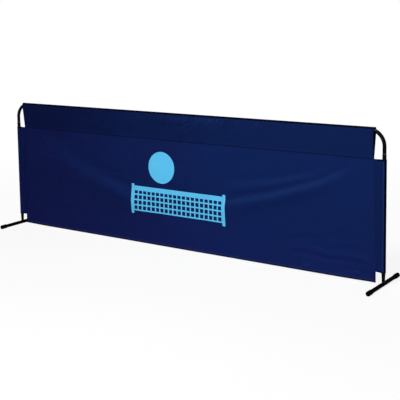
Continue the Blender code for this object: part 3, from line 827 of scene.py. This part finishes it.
def woven_polyester(name, dyes_and_shade, printed=False):
    """Coated woven polyester, dyed navy: dull, with a fine even weave, faint slubs along the yarns, a
    slow cloudy change from violet at the left and the foot to blue at the right, which is also painted
    shade, darker to the left, and painted light, lighter towards the foot, a painted highlight on the
    folds that face up, a crease at the middle where the cover was folded, and along the outer folds a
    dark line of painted shade with a lighter line of painted highlight beside it. A printed one
    carries a screen-printed ball over a net, its ink thinner where the yarns stand up."""
    material, tree = new_material(name, Specular_IOR_Level=0.01)
    cut = add(tree, "ShaderNodeUVMap", uv_map="cut")
    place = add(tree, COORDS, out="Object")
    # Plain weave: each yarn passes over and under the next, so the bumps alternate
    phase = add(tree, VECTOR, {0: cut, 1: (math.pi / YARN, math.pi / YARN, 0)}, operation="MULTIPLY")
    waves = add(tree, SPLIT, {0: add(tree, VECTOR, {0: phase}, operation="SINE")}, out=None)
    weave = add(tree, MATH, {0: waves[0], 1: waves[1]}, operation="MULTIPLY")
    # Thick and thin yarns, drawn a few times coarser than they are so that they show at all
    warp = add(tree, MAPPING, {"Vector": cut, "Scale": (25, 420, 1)})
    warp = add(tree, NOISE, {"Vector": warp, "Scale": 1.0})
    weft = add(tree, MAPPING, {"Vector": cut, "Scale": (420, 25, 1)})
    weft = add(tree, NOISE, {"Vector": weft, "Scale": 1.0})
    yarns = add(tree, MATH, {0: warp, 1: weft}, operation="ADD")
    # Darker and more violet towards the left: painted shade with a violet tone, broken up by cloudy noise
    cloudy = add(tree, NOISE, {"Vector": place, "Scale": 2.6, "Detail": 6.0, "Roughness": 0.6})
    x, _, z = add(tree, SPLIT, {0: place}, out=None)
    patchy = add(tree, NOISE, {"Vector": place, "Scale": 24.0, "Detail": 2.0})
    along = add(tree, MATH, {0: patchy, 1: 0.7, 2: x}, operation="MULTIPLY_ADD")
    along = add(tree, MATH, {0: cloudy, 1: 1.6, 2: along}, operation="MULTIPLY_ADD")
    share = add(tree, RANGE, {"Value": along, "From Min": 0.25, "From Max": 1.45})
    dye = {0: share, 6: linear(dyes_and_shade[0]), 7: linear(dyes_and_shade[1])}
    dye = add(tree, MIX, dye, out=2, data_type="RGBA")
    # Lighter and more violet towards the foot: painted light from the floor, with a violet tone
    low = add(tree, MATH, {0: cloudy, 1: 0.3, 2: z}, operation="MULTIPLY_ADD")
    low = add(tree, RANGE, {"Value": low, "From Min": 0.42, "From Max": 0.16, "To Max": 0.6})
    low_painted_light_dye = {0: share, 6: linear(NAVY_LOW_PAINTED_LIGHT[0]), 7: linear(NAVY_LOW_PAINTED_LIGHT[1])}
    low_painted_light_dye = add(tree, MIX, low_painted_light_dye, out=2, data_type="RGBA")
    dye = add(tree, MIX, {0: low, 6: dye, 7: low_painted_light_dye}, out=2, data_type="RGBA")
    # Painted highlight: a paler, bluer colour on the folds and pleats that face up, as each cloth piece
    # gives it
    painted_highlight = add(tree, "ShaderNodeAttribute", out="Fac", attribute_name="painted_highlight")
    fold_highlight_dye = {0: share, 6: linear(NAVY_FOLD_HIGHLIGHT[0]), 7: linear(NAVY_FOLD_HIGHLIGHT[1])}
    fold_highlight_dye = add(tree, MIX, fold_highlight_dye, out=2, data_type="RGBA")
    dye = add(tree, MIX, {0: painted_highlight, 6: dye, 7: fold_highlight_dye}, out=2, data_type="RGBA")
    lighter = add(tree, RANGE, {"Value": yarns, "From Min": 0.7, "From Max": 1.3, "To Max": 0.3})
    dye = add(tree, MIX, {0: lighter, 6: dye, 7: linear(NAVY_YARN)}, out=2, data_type="RGBA")
    if printed:
        worn = add(tree, RANGE, {"Value": yarns, "From Min": 0.9, "From Max": 1.4, "To Max": 0.35})
        ink = add(tree, MIX, {0: worn, 6: linear(INK), 7: linear(INK_WORN)}, out=2, data_type="RGBA")
        dye = add(tree, MIX, {0: net_and_ball(tree, place), 6: dye, 7: ink}, out=2, data_type="RGBA")
    from_middle = add(tree, MATH, {0: x}, operation="ABSOLUTE")
    from_side = add(tree, MATH, {0: HALF_WIDTH, 1: from_middle}, operation="SUBTRACT")
    from_foot = add(tree, MATH, {0: z, 1: COVER_BOTTOM}, operation="SUBTRACT")
    from_edge = add(tree, MATH, {0: from_side, 1: from_foot}, operation="MINIMUM")
    # Painted highlight: a lighter line a little in from the sleeves' outer folds and the hem's fold
    wear_and_highlight = add(tree, MATH, {0: from_edge, 1: HIGHLIGHT_LINE_PLACE, 2: HIGHLIGHT_LINE_WIDTH / 2}, operation="COMPARE")
    wear_and_highlight = add(tree, MATH, {0: wear_and_highlight, 1: HIGHLIGHT_LINE_STRENGTH}, operation="MULTIPLY")
    dye = add(tree, MIX, {0: wear_and_highlight, 6: dye, 7: linear(NAVY_HIGHLIGHT_LINE)}, out=2, data_type="RGBA")
    # Painted shade: a dark line along the outer folds, wider on the crown of the rail
    from_top = {0: z, 1: -CROWN_SHADE_SHARE, 2: CROWN_SHADE_SHARE * COVER_TOP}
    from_top = add(tree, MATH, from_top, operation="MULTIPLY_ADD")
    from_edge = add(tree, MATH, {0: from_edge, 1: from_top}, operation="MINIMUM")
    dark = {"Value": from_edge, "From Min": SHADE_LINE_WIDTH, "From Max": 0.7 * SHADE_LINE_WIDTH, "To Max": 0.93}
    dye = {0: add(tree, RANGE, dark), 6: dye, 7: linear(NAVY_PAINTED_SHADE)}
    dye = add(tree, MIX, dye, out=2, data_type="RGBA")
    height = add(tree, MATH, {0: weave, 1: 0.35, 2: yarns}, operation="MULTIPLY_ADD")
    rough = add(tree, MATH, {0: yarns, 1: 0.10, 2: 0.62}, operation="MULTIPLY_ADD")
    folded = add(tree, RANGE, {"Value": from_middle, "From Min": BAG_FOLD, "From Max": 0.0})
    folded = add(tree, BUMP, {"Strength": 0.6, "Distance": 0.8 * MM, "Height": folded})
    bump = {"Strength": 0.35, "Distance": 0.15 * MM, "Height": height, "Normal": folded}
    bump = add(tree, BUMP, bump)
    add(tree, SHADER, {"Base Color": dye, "Roughness": rough, "Normal": bump})
    return material


def between(tree, value, low, high):
    """1 where a value lies between two others, with an edge about half a millimetre soft."""
    above = add(tree, RANGE, {"Value": value, "From Min": low, "From Max": low + 0.5 * MM})
    under = add(tree, RANGE, {"Value": value, "From Min": high, "From Max": high - 0.5 * MM})
    return add(tree, MATH, {0: above, 1: under}, operation="MULTIPLY")


def net_and_ball(tree, place):
    """Where the ink is: a plain ball over a plain net, the sign of the game and of no maker."""
    x, _, z = add(tree, SPLIT, {0: place}, out=None)
    from_middle = add(tree, MATH, {0: x}, operation="ABSOLUTE")
    from_ball = {0: add(tree, "ShaderNodeCombineXYZ", {0: x, 2: z}), 1: (BALL_X, 0, BALL_Z)}
    away = add(tree, VECTOR, from_ball, out="Value", operation="DISTANCE")
    ink = between(tree, away, -1.0, BALL_RADIUS)
    across = between(tree, from_middle, -1.0, NET_HALF_WIDTH)
    cords = []
    for value in (x, add(tree, MATH, {0: z, 1: NET_LOW}, operation="SUBTRACT")):
        step = add(tree, MATH, {0: value, 1: NET_MESH / 2}, operation="PINGPONG")
        cords.append(add(tree, MATH, {0: step, 1: NET_CORD / 2}, operation="LESS_THAN"))
    mesh = add(tree, MATH, {0: cords[0], 1: cords[1]}, operation="MAXIMUM")
    shapes = (
        (mesh, across, between(tree, z, NET_LOW - NET_CORD / 2, NET_HIGH)),
        (1.0, across, between(tree, z, NET_HIGH - NET_TAPE, NET_HIGH)),
        (
            1.0,
            between(tree, from_middle, NET_HALF_WIDTH, NET_HALF_WIDTH + POST_WIDTH),
            between(tree, z, NET_LOW - POST_BELOW, NET_HIGH + POST_ABOVE),
        ),
    )
    for pattern, sideways, upright in shapes:
        part = add(tree, MATH, {0: sideways, 1: upright}, operation="MULTIPLY")
        part = add(tree, MATH, {0: part, 1: pattern}, operation="MULTIPLY")
        ink = add(tree, MATH, {0: ink, 1: part}, operation="MAXIMUM")
    return ink


def woven_tape():
    """Grosgrain ribbon, woven polyester: darker than the cover, with ribs across it."""
    material, tree = new_material("grosgrain_ribbon_woven", Specular_IOR_Level=0.03, Roughness=0.8)
    cut = add(tree, "ShaderNodeUVMap", uv_map="cut")
    phase = add(tree, VECTOR, {0: cut, 1: (2 * math.pi / RIB, 0, 0)}, operation="MULTIPLY")
    ribs = add(tree, SPLIT, {0: add(tree, VECTOR, {0: phase}, operation="SINE")})
    cloudy = add(tree, NOISE, {"Vector": cut, "Scale": 60.0, "Detail": 2.0})
    dye = {0: cloudy, 6: linear("#03051A"), 7: linear("#070A2B")}
    dye = add(tree, MIX, dye, out=2, data_type="RGBA")
    bump = add(tree, BUMP, {"Strength": 0.5, "Distance": 0.1 * MM, "Height": ribs})
    add(tree, SHADER, {"Base Color": dye, "Normal": bump})
    return material


def spun_thread():
    """Twisted polyester thread: dull and darker than the cloth, with its twist showing. It is drawn
    half as thick again as it is, so that the rows show."""
    material, tree = new_material("polyester_thread_twisted", Specular_IOR_Level=0.1, Roughness=0.65)
    place = add(tree, COORDS, out="Object")
    turned = add(tree, MAPPING, {"Vector": place, "Rotation": (0, math.radians(35), 0)})
    twist = add(tree, "ShaderNodeTexWave", {"Vector": turned, "Scale": 900.0, "Distortion": 1.0}, out=1)
    dye = {0: twist, 6: linear("#03051A"), 7: linear("#080E30")}
    add(tree, SHADER, {"Base Color": add(tree, MIX, dye, out=2, data_type="RGBA")})
    return material


def powder_coat(name, gloss, roughness):
    """Black powder coat on steel tube, satin on the frame and dull on the feet: a shallow orange peel,
    a few scuffs, and bare steel where the tube's sawn end has lost its coat."""
    material, tree = new_material(name, Specular_IOR_Level=gloss, IOR=1.5)
    place = add(tree, COORDS, out="Object")
    peel = add(tree, NOISE, {"Vector": place, "Scale": 1 / (2.2 * MM), "Detail": 2.0})
    along = add(tree, MAPPING, {"Vector": place, "Scale": (60, 60, 14)})
    scuffs = add(tree, NOISE, {"Vector": along, "Scale": 1.0, "Detail": 6.0, "Roughness": 0.7})
    scuffed = add(tree, RANGE, {"Value": scuffs, "From Min": 0.60, "From Max": 0.78})
    height = add(tree, SPLIT, {0: place}, out="Z")
    rim = between(tree, height, LEG_TOP - 0.7 * MM, LEG_TOP + 0.4 * MM)
    chips = add(tree, NOISE, {"Vector": place, "Scale": 420.0})
    chipped = add(tree, MATH, {0: chips, 1: 0.42}, operation="GREATER_THAN")
    bare = add(tree, MATH, {0: rim, 1: chipped}, operation="MULTIPLY")
    coat = {0: scuffed, 6: linear("#020203"), 7: linear("#070708")}
    coat = add(tree, MIX, coat, out=2, data_type="RGBA")
    colour = add(tree, MIX, {0: bare, 6: coat, 7: linear("#A9ABAD")}, out=2, data_type="RGBA")
    rough = add(tree, MATH, {0: scuffed, 1: 0.14, 2: roughness}, operation="MULTIPLY_ADD")
    bump = add(tree, BUMP, {"Strength": 0.25, "Distance": 0.05 * MM, "Height": peel})
    surface = {"Base Color": colour, "Metallic": bare, "Roughness": rough, "Normal": bump}
    add(tree, SHADER, surface)
    return material


def moulded_plastic():
    """Black polypropylene, moulded: dull and slightly waxy, with a fine spark-eroded grain and grey
    rubbing where the cap stands on the floor."""
    material, tree = new_material("polypropylene_moulded", Specular_IOR_Level=0.003, IOR=1.49)
    place = add(tree, COORDS, out="Object")
    grain = add(tree, NOISE, {"Vector": place, "Scale": 1 / (0.6 * MM), "Detail": 3.0})
    height = add(tree, SPLIT, {0: place}, out="Z")
    low = add(tree, RANGE, {"Value": height, "From Min": 2.5 * MM, "From Max": 0.0})
    patches = add(tree, NOISE, {"Vector": place, "Scale": 180.0, "Detail": 4.0})
    wear_and_highlight = add(tree, MATH, {0: low, 1: patches}, operation="MULTIPLY")
    colour = {0: wear_and_highlight, 6: linear("#050506"), 7: linear("#2A2A2B")}
    colour = add(tree, MIX, colour, out=2, data_type="RGBA")
    rough = add(tree, MATH, {0: grain, 1: 0.15, 2: 0.50}, operation="MULTIPLY_ADD")
    bump = add(tree, BUMP, {"Strength": 0.3, "Distance": 0.06 * MM, "Height": grain})
    add(tree, SHADER, {"Base Color": colour, "Roughness": rough, "Normal": bump})
    return material


def zinc_plate():
    """Bright zinc plating on turned steel: bluish silver, with lathe rings and faint cloudy staining."""
    material, tree = new_material("zinc_plated_steel", Metallic=1.0)
    place = add(tree, COORDS, out="Object")
    clouds = add(tree, NOISE, {"Vector": place, "Scale": 220.0, "Detail": 4.0})
    rings = add(tree, "ShaderNodeTexWave", {"Vector": place, "Scale": 500.0}, out=1, bands_direction="Z")
    colour = {0: clouds, 6: linear("#A9B0B8"), 7: linear("#C9CBC4")}
    colour = add(tree, MIX, colour, out=2, data_type="RGBA")
    rough = add(tree, MATH, {0: clouds, 1: 0.2, 2: 0.25}, operation="MULTIPLY_ADD")
    bump = add(tree, BUMP, {"Strength": 0.15, "Distance": 0.03 * MM, "Height": rings})
    add(tree, SHADER, {"Base Color": colour, "Roughness": rough, "Normal": bump})
    return material


def black_nylon():
    """Nylon washer, stamped from sheet: black and slightly waxy."""
    material, tree = new_material("nylon_stamped", IOR=1.53, Specular_IOR_Level=0.12)
    place = add(tree, COORDS, out="Object")
    clouds = add(tree, NOISE, {"Vector": place, "Scale": 300.0})
    colour = {0: clouds, 6: linear("#070708"), 7: linear("#121213")}
    rough = add(tree, MATH, {0: clouds, 1: 0.15, 2: 0.35}, operation="MULTIPLY_ADD")
    colour = add(tree, MIX, colour, out=2, data_type="RGBA")
    add(tree, SHADER, {"Base Color": colour, "Roughness": rough})
    return material


def seen_direct(tree):
    """1 for what the camera sees, itself or in a glossy or clear piece, and 0 for light on a surface."""
    path = add(tree, "ShaderNodeLightPath", out=None)
    seen = add(tree, MATH, {0: path["Is Camera Ray"], 1: path["Is Glossy Ray"]}, operation="MAXIMUM")
    return add(tree, MATH, {0: seen, 1: path["Is Transmission Ray"]}, operation="MAXIMUM")


def paper_white():
    """The plain floor: matt white that takes the soft shadow and turns to the white backdrop further
    away. What the camera and the glossy pieces see of it is lifted to near white."""
    material, tree = new_material("studio_floor_paper", Roughness=0.9, Specular_IOR_Level=0.0)
    place = add(tree, COORDS, out="Object")
    fibres = add(tree, NOISE, {"Vector": place, "Scale": 9.0, "Detail": 5.0})
    colour = {0: fibres, 6: linear("#DADADA"), 7: linear("#E4E4E4")}
    add(tree, SHADER, {"Base Color": add(tree, MIX, colour, out=2, data_type="RGBA")})
    distance = add(tree, VECTOR, {0: place}, out="Value", operation="LENGTH")
    far = add(tree, RANGE, {"Value": distance, "From Min": 1.4, "From Max": 3.6, "To Min": 0.88})
    share = add(tree, MATH, {0: seen_direct(tree), 1: far}, operation="MULTIPLY")
    paper = tree.nodes[SHADER].outputs[0]
    white = add(tree, "ShaderNodeEmission", {"Color": (1, 1, 1, 1), "Strength": 1.0})
    blend = add(tree, "ShaderNodeMixShader", {0: share, 1: paper, 2: white})
    tree.links.new(blend, tree.nodes["Material Output"].inputs["Surface"])
    return material


# Stage


def build_floor():
    """A wide plane just under the feet."""
    mesh = bpy.data.meshes.new("floor")
    shape = bmesh.new()
    bmesh.ops.create_grid(shape, x_segments=1, y_segments=1, size=60)
    bmesh.ops.translate(shape, vec=(0, 0, -0.2 * MM), verts=shape.verts)
    shape.to_mesh(mesh)
    shape.free()
    floor = bpy.data.objects.new("floor", mesh)
    bpy.context.scene.collection.objects.link(floor)
    mesh.materials.append(paper_white())
    floor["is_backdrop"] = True


def aim_camera():
    """Sets the camera at the photograph's place. It looks down a little, and a shift makes up for a
    part of the lean that this gives the legs."""
    data = bpy.data.cameras.new("camera")
    data.sensor_width = SENSOR_MM
    data.lens = CAMERA_FOCAL_PIXELS * SENSOR_MM / FRAME_PIXELS
    data.shift_y = CAMERA_SHIFT_PIXELS / FRAME_PIXELS
    data.clip_end = 200
    camera = bpy.data.objects.new("camera", data)
    bpy.context.scene.collection.objects.link(camera)
    upright = Matrix.Rotation(math.radians(90), 4, "X")
    turn = Matrix.Rotation(CAMERA_YAW, 4, "Z") @ upright @ Matrix.Rotation(CAMERA_PITCH, 4, "X")
    turn = turn @ Matrix.Rotation(CAMERA_ROLL, 4, "Z")
    camera.matrix_world = Matrix.Translation(CAMERA_PLACE) @ turn
    bpy.context.scene.camera = camera


def soft_box(name, place, target, width, height, watts):
    """An area lamp at a place, turned towards another."""
    data = bpy.data.lights.new(name, "AREA")
    data.shape = "RECTANGLE"
    data.size = width
    data.size_y = height
    data.energy = watts
    lamp = bpy.data.objects.new(name, data)
    bpy.context.scene.collection.objects.link(lamp)
    lamp.location = place
    lamp.rotation_euler = (Vector(target) - Vector(place)).to_track_quat("-Z", "Y").to_euler()


def light_studio():
    """A soft box high up in front, a weak one low in front, a wide one behind, and a plain room whose
    light falls off overhead. The backdrop is white."""
    soft_box("key_box", (0.8, -2.2, 3.3), (0.45, 0, 0.35), 1.2, 0.9, 134)
    soft_box("fill_box", (1.1, -4.4, 1.2), (0.7, 0, 0.4), 0.9, 0.9, 24)
    soft_box("back_box", (-1.6, 3.4, 3.0), (0, 0, 0.35), 2.4, 1.6, 120)
    bpy.context.scene.view_settings.view_transform = "Standard"
    world = bpy.data.worlds.new("white_room")
    bpy.context.scene.world = world
    world.use_nodes = True
    tree = world.node_tree
    direction = add(tree, COORDS, out="Generated")
    up = add(tree, SPLIT, {0: direction}, out="Z")
    room = add(tree, RANGE, {"Value": up, "From Max": 0.9, "To Min": 0.21, "To Max": 0.13})
    strength = add(tree, RANGE, {"Value": seen_direct(tree), "To Min": room, "To Max": 1.0})
    add(tree, "Background", {"Color": (1, 1, 1, 1), "Strength": strength})


# Putting it together


def finish_cad_nodes():
    """Gives the pieces of the CAD model their finishes, by how their names start."""
    satin = powder_coat("powder_coat_satin", 0.04, 0.24)
    dull = powder_coat("powder_coat_dull", 0.003, 0.48)
    plastic, zinc, nylon = moulded_plastic(), zinc_plate(), black_nylon()
    finishes = (
        ("rail_spigot", zinc),
        ("spigot_rivet", zinc),
        ("leg_plug", zinc),
        ("foot_screw", zinc),
        ("foot_washer", nylon),
        ("foot_cap", plastic),
        ("rail_", satin),
        ("leg_", satin),
        ("foot_tube", dull),
    )
    for name, node in nodes.items():
        for start, finish in finishes:
            if name.startswith(start):
                for slot in node.material_slots:
                    slot.material = finish
                break


def build_cover():
    """The sewn cover: its four sheets with their trim, all riding on the frame."""
    printed = woven_polyester("coated_polyester_printed", NAVY_PANEL, printed=True)
    plain = woven_polyester("coated_polyester_woven", NAVY_PANEL)
    # The band's cloth is darker than the panel's, most at the left: painted shade
    doubled = woven_polyester("coated_polyester_doubled", NAVY_BAND)
    # The sleeves' cloth is darker than the panel's: painted shade
    sleeve_painted_shade = woven_polyester("coated_polyester_cross_cut", NAVY_SLEEVES)
    tape = woven_tape()
    thread = spun_thread()
    panel = build_panel((printed, plain))
    band = build_band(doubled)
    sleeves = {word: build_leg_sleeve(side, word, sleeve_painted_shade) for side, word in ((-1, "left"), (1, "right"))}
    extras = {"band": [band_stitches(thread)], "left": [], "right": [], "panel": [hem_stitches(thread)]}
    for side, word in ((-1, "left"), (1, "right")):
        extras["band"].append(band_binding(side, word, tape))
        extras["panel"].append(notch_binding(side, word, tape))
        extras[word] += [
            sleeve_binding(side, word, SEAM_Z, -1, "sleeve_top_binding", tape),
            sleeve_binding(side, word, SLEEVE_BOTTOM, 1, "sleeve_foot_binding", tape),
            sleeve_stitches(side, word, thread),
        ]
    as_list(extras["panel"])
    band_girth = lengths_along(BAND_SECTION)[-1] * 2 + 2 * TURNED_EDGE
    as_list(extras["band"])
    for word, sleeve in sleeves.items():
        girth = lengths_along(leg_section(SEAM_Z))[-1] * 2 + 2 * TURNED_EDGE
        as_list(extras[word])


build_floor()
aim_camera()
light_studio()
finish_cad_nodes()
build_cover()

boxes = {"cad": cad_box, "visual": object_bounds()}
{name: [list(corner) for corner in box] for name, box in boxes.items()}
